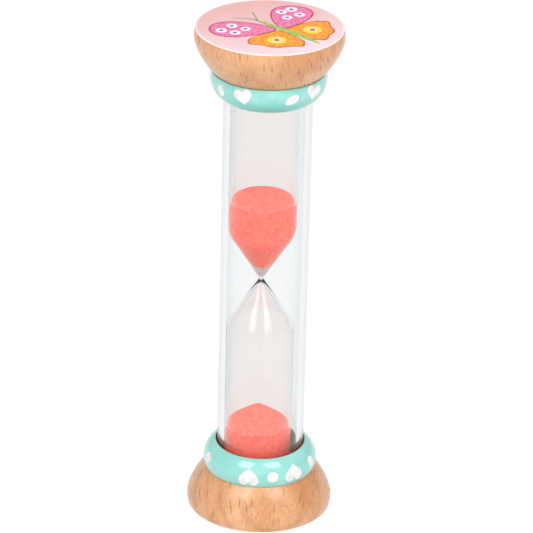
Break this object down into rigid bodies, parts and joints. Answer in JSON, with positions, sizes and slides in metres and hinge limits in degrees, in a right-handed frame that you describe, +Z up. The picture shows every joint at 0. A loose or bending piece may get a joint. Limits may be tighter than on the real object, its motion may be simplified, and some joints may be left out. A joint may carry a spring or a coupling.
{
  "type": "sand timer",
  "caption": "Small upright sand timer: turned wooden end caps with painted collars hold a clear tube around a glass vial of coral sand.",
  "frame": {"origin": "centre of the lower end face, on the surface it stands on", "axes": "+Z up along the timer's length; the glass vial leans to -X inside the tube"},
  "size_m": [0.0268, 0.0268, 0.095],
  "materials": {
    "beech": "turned beech with fine dark flecks, thin satin varnish",
    "mint_lacquer": "turned beech under glossy mint lacquer with pale printed hearts and dots",
    "printed_disc": "thin pink printed disc with a butterfly, semi-gloss",
    "clear_tube": "clear, polished, 1.2 mm wall",
    "vial_glass": "clear blown glass, fire polished",
    "plug_plastic": "white moulded stopper",
    "pad_foam": "white closed-cell foam",
    "coral_sand": "fine dyed coral sand"
  },
  "bodies": {
    "root": {"lower_end_cap": "beech", "upper_end_cap": "beech", "lower_collar": "mint_lacquer", "upper_collar": "mint_lacquer", "lower_print": "printed_disc", "upper_print": "printed_disc", "outer_tube": "clear_tube", "glass_vial": "vial_glass", "fill_plug": "plug_plastic", "lower_pad": "pad_foam", "upper_pad": "pad_foam", "lower_sand": "coral_sand", "upper_sand": "coral_sand", "sand_stream": "coral_sand"}
  },
  "joints": []
}
